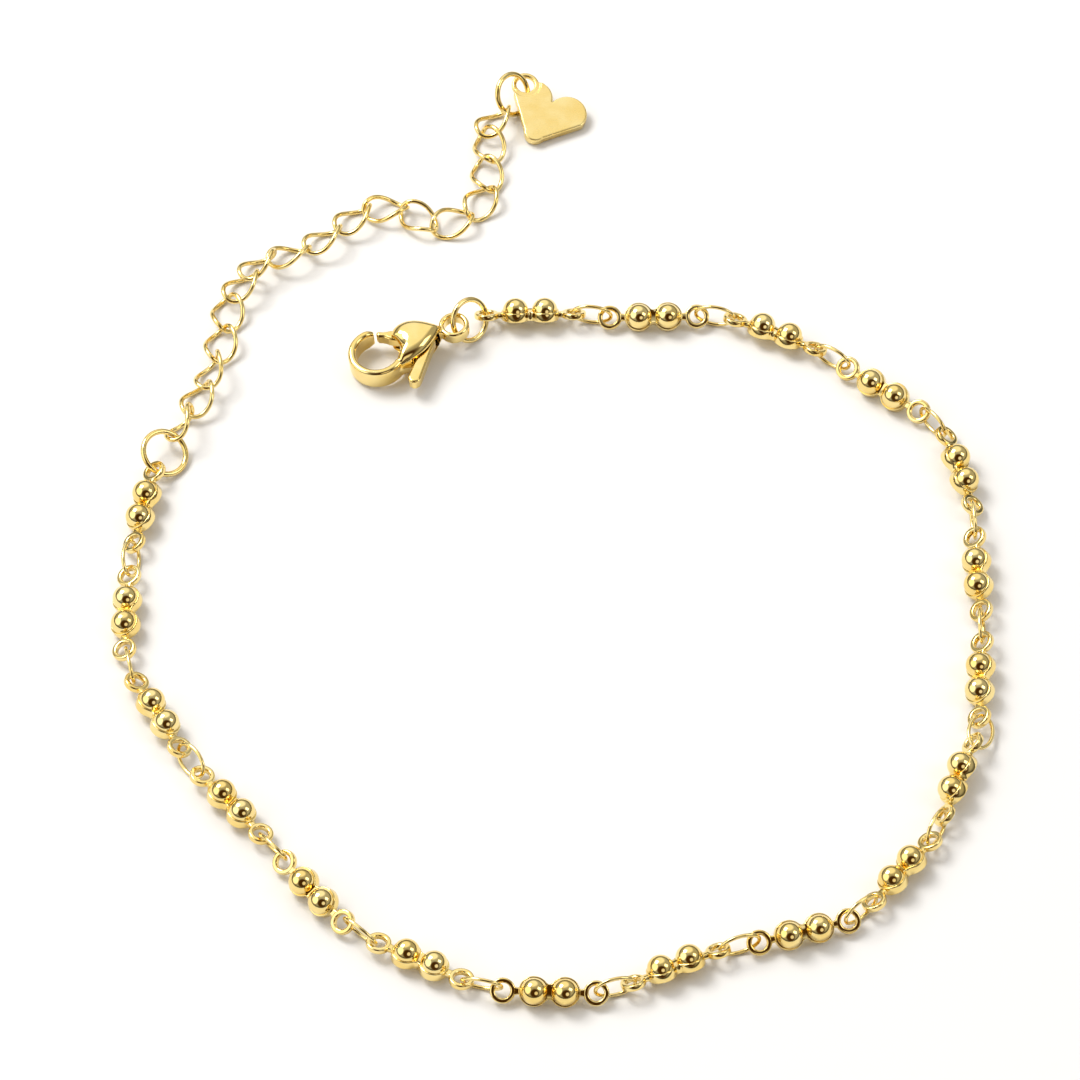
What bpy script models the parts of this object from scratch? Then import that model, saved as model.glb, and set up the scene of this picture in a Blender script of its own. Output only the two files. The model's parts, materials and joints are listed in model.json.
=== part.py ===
# Anklet of two-bead links on oval connectors, with a lobster clasp, an extender chain and a heart tag
import math
from collections import namedtuple

import bmesh
import bpy
import numpy as np
from mathutils import Matrix, Vector
from mathutils.bvhtree import BVHTree

MM = 0.001

# Driving dimensions in millimetres
BEAD_RADIUS = 1.32
BEAD_OFFSET = 1.34
BEAD_SIDES = 12
BASE_HEIGHT = 0.85
WAIST_HALF_LENGTH = 0.55
WAIST_HALF_WIDTH = 0.62
WAIST_LOW = 0.04
WAIST_HIGH = 0.76
EYELET_OFFSET = 4.02
EYELET_RADIUS = 1.12
EYELET_HOLE = 0.66
EYELET_LOW = 0.12
EYELET_HIGH = 0.70
EYELET_SIDES = 10
NECK_START = 2.20
NECK_END = 3.20
NECK_HALF_WIDTH = 0.32
NECK_LOW = 0.16
NECK_HIGH = 0.66
CONNECTOR_LENGTH = 3.90
CONNECTOR_WIDTH = 2.62
CONNECTOR_WIRE = 0.35
EXTENDER_LENGTH = 4.55
EXTENDER_WIDTH = 3.25
EXTENDER_WIRE = 0.43
EXTENDER_TWIST = math.radians(45)
SOLDER_DEPTH = 0.10
CLASP_TILT = math.radians(5)
CLAW_INNER = 1.95
CLAW_OUTER = 2.68
CLAW_LOW = 0.50
CLAW_HIGH = 2.70
CLAW_BEVEL = 0.31
CLAW_START = -50
CLAW_SWEEP = 234
CLAW_STEPS = 14
BODY_THICKNESS = 3.20
BODY_MIDDLE = (3.85, 0.05)
SLOT_LOW = 0.78
SLOT_HIGH = 2.42
LEVER_LOW = 1.06
LEVER_HIGH = 2.14
PIVOT = (4.80, -0.20)
PIN_RADIUS = 0.36
LEVER_HOLE = 0.62
EYE_CENTRE = 7.62
EYE_RADIUS = 1.40
EYE_HOLE = 0.92
EYE_LOW = 0.95
EYE_HIGH = 2.25
LOBE_RADIUS = 1.85
LOBE_OFFSET = 1.80
LOBE_RISE = 1.45
TIP_RADIUS = 1.05
TIP_DROP = 3.20
HEART_THICKNESS = 0.90
HEART_BEVEL = 0.12
HEART_EYELET = (-3.10, 2.45)
HEART_EYELET_RADIUS = 1.30
HEART_EYELET_HOLE = 0.85
HEART_EYELET_LOW = 0.12
HEART_EYELET_HIGH = 0.66

# Height of each level of a bead and its radius there
BEAD_PROFILE = ((0.0, BEAD_RADIUS), (BASE_HEIGHT, BEAD_RADIUS), (1.50, 1.05), (1.92, 0.56))

# Heading of each two-bead link on the floor, and how far its domes lean outwards, in degrees
BeadLink = namedtuple("BeadLink", "heading lean")
CHAIN_START = (-0.9, 24.6)
BEAD_LINKS = (
    BeadLink(1, 36),
    BeadLink(1, -26),
    BeadLink(-25, 30),
    BeadLink(-38, -28),
    BeadLink(-75, 34),
    BeadLink(-88, -34),
    BeadLink(-94, -34),
    BeadLink(-110, -48),
    BeadLink(-129, -26),
    BeadLink(-164, 30),
    BeadLink(-156, -32),
    BeadLink(-182, 30),
    BeadLink(-207, -12),
    BeadLink(-230, 34),
    BeadLink(-229, -14),
    BeadLink(-240, -20),
    BeadLink(-271, 22),
    BeadLink(-281, 32),
)

# Distance between the two eyelets that each connector joins, and the lean of its flat side from upright
Connector = namedtuple("Connector", "reach lean")
CONNECTORS = (
    Connector(3.3, 0),
    Connector(3.5, 12),
    Connector(3.7, 4),
    Connector(3.7, -8),
    Connector(3.6, 10),
    Connector(3.5, -12),
    Connector(3.1, -68),
    Connector(3.0, -18),
    Connector(3.0, -6),
    Connector(3.6, -4),
    Connector(3.3, -4),
    Connector(3.7, 24),
    Connector(3.7, 26),
    Connector(3.7, 24),
    Connector(3.7, -20),
    Connector(3.7, 12),
    Connector(3.7, 34),
)
DROP_LIMIT = 0.30
FLOOR_GAP = 0.02
WIRE_CLEARANCE = 0.06

# Heading of each extender link, the lean of its flat side from level, and how far it lies back
# from taut, resting against the left side of the link before it, or the right side if negative
ExtenderLink = namedtuple("ExtenderLink", "heading lean slack")
EXTENDER_START = (-32.65, 12.0)
EXTENDER_LINKS = (
    ExtenderLink(66, 62, 0),
    ExtenderLink(66, 18, 0),
    ExtenderLink(74, 44, 0),
    ExtenderLink(80, 8, 0),
    ExtenderLink(84, 4, 0),
    ExtenderLink(50, 26, 0),
    ExtenderLink(44, 38, 0.9),
    ExtenderLink(22, 26, -0.5),
    ExtenderLink(40, 28, 0),
    ExtenderLink(44, 22, 0),
    ExtenderLink(4, 8, 0),
    ExtenderLink(-44, -4, 0),
    ExtenderLink(26, -10, 0),
    ExtenderLink(60, -4, 0),
    ExtenderLink(100, 4, 0),
    ExtenderLink(100, 12, -0.3),
    ExtenderLink(50, 26, 0.6),
)

# Round rings between two holes: lean of the flat side from upright, outer diameter and wire
JumpRing = namedtuple("JumpRing", "name lean diameter wire")
CLASP_RING = JumpRing("clasp_jump_ring", 39, 4.3, 0.50)
EXTENDER_RING = JumpRing("extender_jump_ring", 60, 4.6, 0.52)
TAG_RING = JumpRing("tag_jump_ring", 0, 4.3, 0.50)
RING_PLAY = 0.3

SHARP_ANGLE = math.radians(40)
CLASP_PLACE = (-14.74, 19.68)
CLASP_HEADING = 22.9
HEART_PLACE = (0.27, 48.47)
HEART_HEADING = -26.0
HEART_TILT = math.radians(11)
GOLD = (0.83, 0.55, 0.16, 1.0)


def clear_scene():
    for obj in list(bpy.data.objects):
        bpy.data.objects.remove(obj, do_unlink=True)


def gold_material(name):
    material = bpy.data.materials.new(name + "_gold")
    material.use_nodes = True
    shader = material.node_tree.nodes["Principled BSDF"]
    shader.inputs["Base Color"].default_value = GOLD
    shader.inputs["Metallic"].default_value = 1.0
    shader.inputs["Roughness"].default_value = 0.16
    material.diffuse_color = GOLD
    return material


def mesh_from(name, points, faces):
    mesh = bpy.data.meshes.new(name)
    mesh.from_pydata([tuple(p) for p in points], [], faces)
    tool = bmesh.new()
    tool.from_mesh(mesh)
    bmesh.ops.recalc_face_normals(tool, faces=tool.faces)
    tool.to_mesh(mesh)
    tool.free()
    return mesh


def lofted(name, rings, closed=False):
    """Solid through equal rings of points; a closed loft joins its last ring to its first."""
    count = len(rings[0])
    points = [p for ring in rings for p in ring]
    spans = len(rings) if closed else len(rings) - 1
    faces = []
    for i in range(spans):
        low = i * count
        high = (i + 1) % len(rings) * count
        for j in range(count):
            k = (j + 1) % count
            faces.append((low + j, low + k, high + k, high + j))
    if not closed:
        faces.append(tuple(range(count)))
        faces.append(tuple(range((len(rings) - 1) * count, len(rings) * count)))
    return mesh_from(name, points, faces)


def circle_points(radius, sides, z, x=0.0, y=0.0, turn=0.0):
    angles = [turn + 2 * math.pi * i / sides for i in range(sides)]
    return [(x + radius * math.cos(a), y + radius * math.sin(a), z) for a in angles]


def prism(name, outline, low, high):
    return lofted(name, [[(x, y, low) for x, y in outline], [(x, y, high) for x, y in outline]])


def flat_ring(name, x, outer, hole, low, high, sides):
    """Ring lying level with square edges."""
    turn = math.pi / sides
    rings = [
        circle_points(outer, sides, low, x, 0.0, turn),
        circle_points(outer, sides, high, x, 0.0, turn),
        circle_points(hole, sides, high, x, 0.0, turn),
        circle_points(hole, sides, low, x, 0.0, turn),
    ]
    return lofted(name, rings, closed=True)


def swept_wire(name, path, sides, normals, radius):
    """Round wire of equal thickness along a closed path."""
    rings = []
    count = len(path)
    for i, point in enumerate(path):
        along = (path[(i + 1) % count] - path[i - 1]).normalized()
        across = (normals[i] - along * normals[i].dot(along)).normalized()
        third = along.cross(across)
        ring = []
        for k in range(sides):
            angle = 2 * math.pi * k / sides
            ring.append(point + across * (radius * math.cos(angle)) + third * (radius * math.sin(angle)))
        rings.append(ring)
    return lofted(name, rings, closed=True)


def oval_path(length, width, wire, count, twist=0.0):
    """Centre line of an oval link along X, its ends turned apart, with a facing for each point."""
    half_length = (length - wire) / 2
    half_width = (width - wire) / 2
    path = []
    normals = []
    for i in range(count):
        angle = 2 * math.pi * i / count
        x = half_length * math.cos(angle)
        turn = -twist * math.cos(angle)
        side = half_width * math.sin(angle)
        path.append(Vector((x, side * math.cos(turn), side * math.sin(turn))))
        normals.append(Vector((0.0, -math.sin(turn), math.cos(turn))))
    return path, normals


def joined(name, meshes, cutters=()):
    """One solid from overlapping ones, with cutters taken away."""
    helpers = []
    base = bpy.data.objects.new(name + "_base", meshes[0])
    bpy.context.scene.collection.objects.link(base)
    helpers.append(base)
    steps = [(mesh, "UNION") for mesh in meshes[1:]] + [(mesh, "DIFFERENCE") for mesh in cutters]
    for index, (mesh, operation) in enumerate(steps):
        helper = bpy.data.objects.new(f"{name}_{operation.lower()}_{index}", mesh)
        bpy.context.scene.collection.objects.link(helper)
        helpers.append(helper)
        modifier = base.modifiers.new(operation.title(), "BOOLEAN")
        modifier.operation = operation
        modifier.solver = "EXACT"
        modifier.object = helper
    view = bpy.context.evaluated_depsgraph_get()
    result = bpy.data.meshes.new_from_object(base.evaluated_get(view))
    result.name = name
    for helper in helpers:
        bpy.data.objects.remove(helper, do_unlink=True)
    tool = bmesh.new()
    tool.from_mesh(result)
    bmesh.ops.remove_doubles(tool, verts=tool.verts, dist=1e-4)
    bmesh.ops.dissolve_limit(tool, angle_limit=math.radians(0.5), verts=tool.verts, edges=tool.edges)
    tool.to_mesh(result)
    tool.free()
    return result


def in_metres(name, mesh):
    """The finished mesh of a piece, with its own gold."""
    own = mesh.copy()
    own.name = name
    own.transform(Matrix.Scale(MM, 4))
    own.materials.clear()
    own.materials.append(gold_material(name))
    own.shade_smooth()
    own.set_sharp_from_angle(angle=SHARP_ANGLE)
    return own


def place(name, mesh, matrix, parent):
    """Object for a finished mesh, standing where a matrix in millimetres puts it."""
    obj = bpy.data.objects.new(name, mesh)
    obj.parent = parent
    obj.location = matrix.translation * MM
    obj.rotation_euler = matrix.to_euler()
    bpy.context.scene.collection.objects.link(obj)
    return obj


def guide(name, matrix=None, parent=None):
    """Empty that carries the pieces of one assembly."""
    return place(name, None, matrix or Matrix.Identity(4), parent)


def bead(name, x):
    """High dome on a straight side wall with a flat back."""
    turn = math.pi / BEAD_SIDES
    return lofted(name, [circle_points(radius, BEAD_SIDES, z, x, 0.0, turn) for z, radius in BEAD_PROFILE])


def box_outline(x0, x1, half_width):
    return [(x0, -half_width), (x1, -half_width), (x1, half_width), (x0, half_width)]


def bead_link_mesh():
    parts = [
        bead("bead_near", -BEAD_OFFSET),
        bead("bead_far", BEAD_OFFSET),
    ]
    waist = box_outline(-WAIST_HALF_LENGTH, WAIST_HALF_LENGTH, WAIST_HALF_WIDTH)
    parts.append(prism("waist", waist, WAIST_LOW, WAIST_HIGH))
    for side in (-1, 1):
        ends = sorted((side * NECK_START, side * NECK_END))
        size = (EYELET_RADIUS, EYELET_HOLE, EYELET_LOW, EYELET_HIGH, EYELET_SIDES)
        parts.append(flat_ring("eyelet", side * EYELET_OFFSET, *size))
        parts.append(prism("neck", box_outline(*ends, NECK_HALF_WIDTH), NECK_LOW, NECK_HIGH))
    return joined("bead_link", parts)


def lean_matrix(heading, lean):
    return Matrix.Rotation(math.radians(heading), 4, "Z") @ Matrix.Rotation(-math.radians(lean), 4, "X")


def lowest(mesh, matrix):
    return min((matrix @ v.co).z for v in mesh.vertices)


def floor_way(degrees):
    return Vector((math.cos(math.radians(degrees)), math.sin(math.radians(degrees)), 0.0))


def bead_link_centres():
    """Walks round the chain: half a link, a connector's reach, half the next link."""
    centre = Vector((*CHAIN_START, 0.0))
    centres = [centre]
    for index, connector in enumerate(CONNECTORS):
        way = floor_way(BEAD_LINKS[index].heading)
        following = floor_way(BEAD_LINKS[index + 1].heading)
        centre = centre + (way + following) * EYELET_OFFSET + (way + following).normalized() * connector.reach
        centres.append(centre)
    return centres


def link_hole(matrix, side):
    """Middle of a link's eyelet, at its near or far end."""
    return matrix @ Vector((side * EYELET_OFFSET, 0, (EYELET_LOW + EYELET_HIGH) / 2))


def bead_link_matrices(mesh):
    """Each link lies on its edge, lifted a little where an upright connector holds its eyelets up."""
    half = CONNECTOR_WIDTH / 2
    mid = (EYELET_LOW + EYELET_HIGH) / 2
    matrices = []
    for index, (row, centre) in enumerate(zip(BEAD_LINKS, bead_link_centres())):
        turn = lean_matrix(row.heading, row.lean)
        height = FLOOR_GAP - lowest(mesh, turn)
        for connector in CONNECTORS[max(index - 1, 0):index + 1]:
            needed = (half - DROP_LIMIT) * math.cos(math.radians(connector.lean)) + FLOOR_GAP
            height = max(height, needed - mid * math.cos(math.radians(row.lean)))
        matrices.append(Matrix.Translation((centre.x, centre.y, height)) @ turn)
    return matrices


def matrix_between(start, end, lean, width, limits):
    """Ring between two hole centres, its flat side leaning from upright, standing on the floor if it can."""
    along = (end - start).normalized()
    outward = Vector((0, 0, 1)).cross(along).normalized()
    upward = along.cross(outward)
    angle = math.radians(lean)
    across = upward * math.cos(angle) + outward * math.sin(angle)
    facing = along.cross(across)
    middle = (start + end) / 2
    reach = (width / 2 * abs(across.z) + FLOOR_GAP - middle.z) / max(abs(across.z), 0.05)
    shift = max(limits[0], min(limits[1], reach))
    turn = Matrix((along, across, facing)).transposed().to_4x4()
    return Matrix.Translation(middle + across * shift) @ turn


def dense_line(path, matrix):
    """Points close together along a closed centre line."""
    points = []
    for index, point in enumerate(path):
        following = path[(index + 1) % len(path)]
        points += [matrix @ point.lerp(following, step / 6) for step in range(6)]
    return points


def surface_of(mesh, matrix=None):
    matrix = matrix or Matrix.Identity(4)
    points = [matrix @ v.co for v in mesh.vertices]
    return BVHTree.FromPolygons(points, [tuple(p.vertices) for p in mesh.polygons])


def eased(path, matrix, radius, surfaces):
    """Moves a wire ring little by little until it hangs free of its neighbours and of the floor."""
    size = max(point.length for point in path)
    for _ in range(400):
        centre = matrix.translation.copy()
        push = Vector()
        twist = Vector()
        worst = 0.0
        for point in dense_line(path, matrix):
            pushes = [(Vector((0, 0, 1)), radius + FLOOR_GAP - point.z)]
            for surface in surfaces:
                near, normal, _, distance = surface.find_nearest(point)
                outside = (point - near).dot(normal) >= 0
                away = (point - near).normalized() * (1 if outside else -1)
                pushes.append((away, radius + WIRE_CLEARANCE - (distance if outside else -distance)))
            for away, lack in pushes:
                if lack > 0:
                    worst = max(worst, lack)
                    push += away * lack
                    twist += (point - centre).cross(away) * (lack / size ** 2)
        if worst < 0.004:
            break
        turn = Matrix.Identity(4)
        if twist.length > 1e-9:
            turn = Matrix.Rotation(min(0.4 * twist.length, 0.05), 4, twist)
        push *= min(0.25, 0.08 / max(push.length, 1e-9))
        matrix = Matrix.Translation(centre + push) @ turn @ Matrix.Translation(-centre) @ matrix
    return matrix


def line_gap(first, second):
    return np.linalg.norm(np.array(first)[:, None] - np.array(second)[None], axis=2).min()


def extender_links():
    """Links of the extender, each meeting the wire of the one before, and the insides of its two ends."""
    path, normals = oval_path(EXTENDER_LENGTH, EXTENDER_WIDTH, EXTENDER_WIRE, 12, EXTENDER_TWIST)
    link = swept_wire("extender_link", path, 5, normals, EXTENDER_WIRE / 2)
    touching = EXTENDER_WIRE - SOLDER_DEPTH
    inside = EXTENDER_LENGTH / 2 - EXTENDER_WIRE - EXTENDER_RING.wire / 2 - WIRE_CLEARANCE
    meshes = []
    matrices = []
    before = None
    for row in EXTENDER_LINKS:
        turn = lean_matrix(row.heading, row.lean)
        heading = turn.col[0].to_3d()
        line = dense_line(path, turn)
        height = FLOOR_GAP - lowest(link, turn)
        if before is None:
            centre = Vector((*EXTENDER_START, height))
        else:
            start = Vector((centre.x, centre.y, height))
            way = (heading + before[0]).normalized()
            step = 0.7 * EXTENDER_LENGTH
            while line_gap(before[1], [p + start + way * step for p in line]) > touching:
                step += 0.01
            centre = start + way * (step - abs(row.slack))
            side = Vector((0, 0, 1)).cross(way) * math.copysign(0.01, row.slack)
            while line_gap(before[1], [p + centre for p in line]) > touching:
                centre = centre + side
        before = (heading, [p + centre for p in line])
        own = link.copy()
        matrices.append(Matrix.Translation(centre) @ turn)
        own.transform(matrices[-1])
        meshes.append(own)
    return meshes, (matrices[0] @ Vector((-inside, 0, 0)), matrices[-1] @ Vector((inside, 0, 0)))


def jump_ring(row, start, end, surfaces, parent):
    """Round ring through two holes, eased clear of the two pieces it joins."""
    path, normals = oval_path(row.diameter, row.diameter, row.wire, 16)
    mesh = swept_wire(row.name, path, 6, normals, row.wire / 2)
    radius = (row.diameter - row.wire) / 2
    span = (end - start).length - RING_PLAY
    rise = math.sqrt(max(radius ** 2 - (span / 2) ** 2, 0))
    between = matrix_between(start, end, row.lean, row.diameter, (-rise, rise))
    matrix = eased(path, between, row.wire / 2, surfaces)
    place(row.name, in_metres(row.name, mesh), matrix, parent)


def polar(radius, degrees):
    return (radius * math.cos(math.radians(degrees)), radius * math.sin(math.radians(degrees)))


def clasp_body_mesh():
    """Claw, domed teardrop body with a slot for the lever, pin and eye."""
    outline = [
        polar(2.64, -63), polar(2.02, -52), polar(2.00, -32), polar(2.00, -10), polar(2.00, 14),
        polar(2.02, 34), (2.02, 1.72), (2.70, 2.12), (3.60, 2.20), (4.50, 1.92), (5.35, 1.35), (6.05, 0.72),
        (6.50, 0.12),
        (6.20, -0.40), (5.25, -1.22), (4.15, -1.90), (3.05, -2.25), (2.05, -2.40),
    ]
    shoulders = [(0.0, 0.50), (0.25, 0.75), (0.72, 0.93), (1.30, 1.0)]
    shoulders += [(BODY_THICKNESS - z, scale) for z, scale in reversed(shoulders)]
    mid_x, mid_y = BODY_MIDDLE
    rings = []
    for z, scale in shoulders:
        rings.append([(mid_x + (x - mid_x) * scale, mid_y + (y - mid_y) * scale, z) for x, y in outline])
    body = lofted("clasp_dome", rings)
    section = [
        (CLAW_INNER, CLAW_LOW), (CLAW_OUTER - CLAW_BEVEL, CLAW_LOW), (CLAW_OUTER, CLAW_LOW + CLAW_BEVEL),
        (CLAW_OUTER, CLAW_HIGH - CLAW_BEVEL), (CLAW_OUTER - CLAW_BEVEL, CLAW_HIGH), (CLAW_INNER, CLAW_HIGH),
    ]
    rings = []
    for i in range(CLAW_STEPS + 1):
        angle = CLAW_START - CLAW_SWEEP * i / CLAW_STEPS
        rings.append([(*polar(radius, angle), z) for radius, z in section])
    claw = lofted("claw", rings)
    eye = flat_ring("eye", EYE_CENTRE, EYE_RADIUS, EYE_HOLE, EYE_LOW, EYE_HIGH, 14)
    slot_outline = [
        (5.72, 0.62), (4.90, 1.08), (3.70, 1.42), (2.35, 2.40), (0.60, 2.90), (1.00, -0.62), (1.50, -0.78),
        (2.95, -0.95), (2.25, -3.20), (6.60, -2.20), (5.95, -0.35),
    ]
    slot = prism("slot", slot_outline, SLOT_LOW, SLOT_HIGH)
    pin = lofted("pin", [circle_points(PIN_RADIUS, 10, z, *PIVOT) for z in (SLOT_LOW - 0.2, SLOT_HIGH + 0.2)])
    hollow = joined("clasp_hollow", [body], [slot])
    return joined("clasp_body", [hollow, claw, eye, pin])


def clasp_lever_mesh():
    """Flat lever on the pin, its nose closing the claw and its tail out beside the body."""
    outline = [
        polar(1.98, 70), polar(1.98, 50), polar(1.98, 31), (2.30, 0.62), (3.80, -0.30), (3.92, -1.05),
        (1.22, -3.95), (2.10, -4.80), (4.95, -1.42), (5.45, -0.85), (5.55, -0.15), (5.30, 0.40),
        (4.75, 0.72), (3.60, 1.02), (2.26, 1.95), polar(2.62, 52), polar(2.62, 70),
    ]
    lever = prism("clasp_lever", list(reversed(outline)), LEVER_LOW, LEVER_HIGH)
    through = (LEVER_LOW - 1, LEVER_HIGH + 1)
    hole = lofted("lever_hole", [circle_points(LEVER_HOLE, 12, z, *PIVOT) for z in through])
    return joined("clasp_lever", [lever], [hole])


def heart_outline():
    """Two round lobes and a rounded tip joined by straight tangent sides."""
    apart = math.hypot(LOBE_OFFSET, TIP_DROP)
    lean = math.degrees(math.atan2(TIP_DROP, LOBE_OFFSET))
    tangent = lean - math.degrees(math.acos((LOBE_RADIUS - TIP_RADIUS) / apart))
    notch = math.degrees(math.acos(-LOBE_OFFSET / LOBE_RADIUS))
    right = []
    for i in range(3):
        x, y = polar(TIP_RADIUS, -90 + (tangent + 90) * (i + 0.5) / 2.5)
        right.append((x, y + LOBE_RISE - TIP_DROP))
    for i in range(10):
        x, y = polar(LOBE_RADIUS, tangent + (notch - tangent) * i / 10)
        right.append((x + LOBE_OFFSET, y + LOBE_RISE))
    notch_point = (0.0, LOBE_RISE + LOBE_RADIUS * math.sin(math.radians(notch)))
    return right + [notch_point] + [(-x, y) for x, y in reversed(right)]


def heart_mesh():
    """Flat heart with a thinner eyelet standing out from its left lobe."""
    full = heart_outline()
    shrink = 1 - HEART_BEVEL / (LOBE_OFFSET + LOBE_RADIUS)
    edges = [(0.0, shrink), (HEART_BEVEL, 1.0)]
    edges += [(HEART_THICKNESS - z, scale) for z, scale in reversed(edges)]
    rings = []
    for z, scale in edges:
        rings.append([(x * scale, y * scale, z) for x, y in full])
    plate = lofted("heart_plate", rings)
    levels = (HEART_EYELET_LOW, HEART_EYELET_HIGH)
    rim = [circle_points(HEART_EYELET_RADIUS, 16, z, *HEART_EYELET) for z in levels]
    eyelet = lofted("heart_eyelet", rim)
    above = (HEART_EYELET_HIGH + 0.06, HEART_THICKNESS + 1)
    room = HEART_EYELET_RADIUS + 0.16
    recess = lofted("heart_recess", [circle_points(room, 16, z, *HEART_EYELET) for z in above])
    through = (-1, HEART_THICKNESS + 1)
    hole = lofted("heart_hole", [circle_points(HEART_EYELET_HOLE, 16, z, *HEART_EYELET) for z in through])
    cut = joined("heart_cut", [plate], [recess])
    return joined("heart_tag", [cut, eyelet], [hole])


def settle(root):
    """Whole piece centred over the origin, its lowest point on the floor."""
    bpy.context.view_layer.update()
    pieces = [obj for obj in root.children_recursive if obj.data]
    corners = [obj.matrix_world @ v.co for obj in pieces for v in obj.data.vertices]
    low = Vector([min(corner[axis] for corner in corners) for axis in range(3)])
    high = Vector([max(corner[axis] for corner in corners) for axis in range(3)])
    root.location = (-(low.x + high.x) / 2, -(low.y + high.y) / 2, -low.z)


def build_bead_links(root):
    mesh = bead_link_mesh()
    matrices = bead_link_matrices(mesh)
    finished = in_metres("bead_link", mesh)
    for number, matrix in enumerate(matrices, 1):
        place(f"bead_link_{number:02d}", finished, matrix, root)
    return mesh, matrices


def build_connectors(root, link, matrices):
    path, normals = oval_path(CONNECTOR_LENGTH, CONNECTOR_WIDTH, CONNECTOR_WIRE, 12)
    finished = in_metres("connector", swept_wire("connector", path, 5, normals, CONNECTOR_WIRE / 2))
    limits = (-2 * DROP_LIMIT, DROP_LIMIT + 0.1)
    for number, row in enumerate(CONNECTORS, 1):
        near, far = matrices[number - 1:number + 1]
        surfaces = [surface_of(link, near), surface_of(link, far)]
        between = matrix_between(link_hole(near, 1), link_hole(far, -1), row.lean, CONNECTOR_WIDTH, limits)
        matrix = eased(path, between, CONNECTOR_WIRE / 2, surfaces)
        place(f"connector_{number:02d}", finished, matrix, root)


def build_clasp(root):
    """The lever turns on its own origin, at the middle of the pin."""
    body = clasp_body_mesh()
    turn = Matrix.Rotation(math.radians(CLASP_HEADING), 4, "Z") @ Matrix.Rotation(-CLASP_TILT, 4, "Y")
    matrix = Matrix.Translation((*CLASP_PLACE, FLOOR_GAP - lowest(body, turn))) @ turn
    clasp = guide("clasp", matrix, root)
    place("clasp_body", in_metres("clasp_body", body), Matrix.Identity(4), clasp)
    pivot = Vector((*PIVOT, (LEVER_LOW + LEVER_HIGH) / 2))
    lever = clasp_lever_mesh()
    lever.transform(Matrix.Translation(-pivot))
    place("clasp_lever", in_metres("clasp_lever", lever), Matrix.Translation(pivot), clasp)
    return surface_of(body, matrix), matrix @ Vector((EYE_CENTRE, 0, (EYE_LOW + EYE_HIGH) / 2))


def build_extender(root):
    meshes, ends = extender_links()
    mesh = joined("extender_chain", meshes)
    place("extender_chain", in_metres("extender_chain", mesh), Matrix.Identity(4), root)
    return surface_of(mesh), ends


def build_heart(root):
    """The heart lies with its eyelet raised on the tag's ring."""
    mesh = heart_mesh()
    raised = Vector((*HEART_EYELET, 0)).cross(Vector((0, 0, 1)))
    turn = Matrix.Rotation(math.radians(HEART_HEADING), 4, "Z") @ Matrix.Rotation(HEART_TILT, 4, raised)
    matrix = Matrix.Translation((*HEART_PLACE, FLOOR_GAP - lowest(mesh, turn))) @ turn
    place("heart_tag", in_metres("heart_tag", mesh), matrix, root)
    middle = (HEART_EYELET_LOW + HEART_EYELET_HIGH) / 2
    return surface_of(mesh, matrix), matrix @ Vector((*HEART_EYELET, middle))


def main():
    clear_scene()
    root = guide("anklet")
    link, matrices = build_bead_links(root)
    build_connectors(root, link, matrices)
    clasp, clasp_eye = build_clasp(root)
    extender, extender_ends = build_extender(root)
    heart, heart_hole = build_heart(root)
    first, last = matrices[0], matrices[-1]
    jump_ring(CLASP_RING, clasp_eye, link_hole(first, -1), (clasp, surface_of(link, first)), root)
    jump_ring(EXTENDER_RING, link_hole(last, 1), extender_ends[0], (surface_of(link, last), extender), root)
    jump_ring(TAG_RING, extender_ends[1], heart_hole, (extender, heart), root)
    settle(root)


main()
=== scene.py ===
import json
import math

import bmesh
import bpy
import numpy as np
from mathutils import Matrix, Vector


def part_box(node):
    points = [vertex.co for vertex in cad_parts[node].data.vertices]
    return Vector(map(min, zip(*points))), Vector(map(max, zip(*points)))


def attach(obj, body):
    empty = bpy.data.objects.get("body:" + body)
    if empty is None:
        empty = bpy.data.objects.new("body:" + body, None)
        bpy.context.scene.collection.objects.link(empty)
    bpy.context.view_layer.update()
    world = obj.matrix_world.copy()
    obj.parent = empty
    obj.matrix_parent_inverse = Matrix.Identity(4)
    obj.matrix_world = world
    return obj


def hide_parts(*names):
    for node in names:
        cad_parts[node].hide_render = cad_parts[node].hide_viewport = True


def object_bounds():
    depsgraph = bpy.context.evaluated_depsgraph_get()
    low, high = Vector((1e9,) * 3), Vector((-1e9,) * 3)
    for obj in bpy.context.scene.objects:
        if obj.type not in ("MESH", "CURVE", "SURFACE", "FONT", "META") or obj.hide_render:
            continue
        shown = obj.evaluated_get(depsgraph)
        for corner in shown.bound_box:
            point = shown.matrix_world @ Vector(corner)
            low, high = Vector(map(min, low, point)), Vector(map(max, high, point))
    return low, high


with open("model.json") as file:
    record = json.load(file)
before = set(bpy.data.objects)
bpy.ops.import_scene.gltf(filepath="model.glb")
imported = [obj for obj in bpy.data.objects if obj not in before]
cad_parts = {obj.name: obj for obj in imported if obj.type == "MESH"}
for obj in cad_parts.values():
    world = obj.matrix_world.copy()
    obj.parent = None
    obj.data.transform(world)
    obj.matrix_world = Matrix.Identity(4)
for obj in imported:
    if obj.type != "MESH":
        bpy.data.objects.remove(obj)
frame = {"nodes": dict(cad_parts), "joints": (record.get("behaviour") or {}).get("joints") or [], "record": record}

mm = 0.001
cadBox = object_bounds()
nodes = frame["nodes"]
record = frame["record"]
print("frame loaded,", len(nodes), "pieces")


# small helpers for node trees

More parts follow.
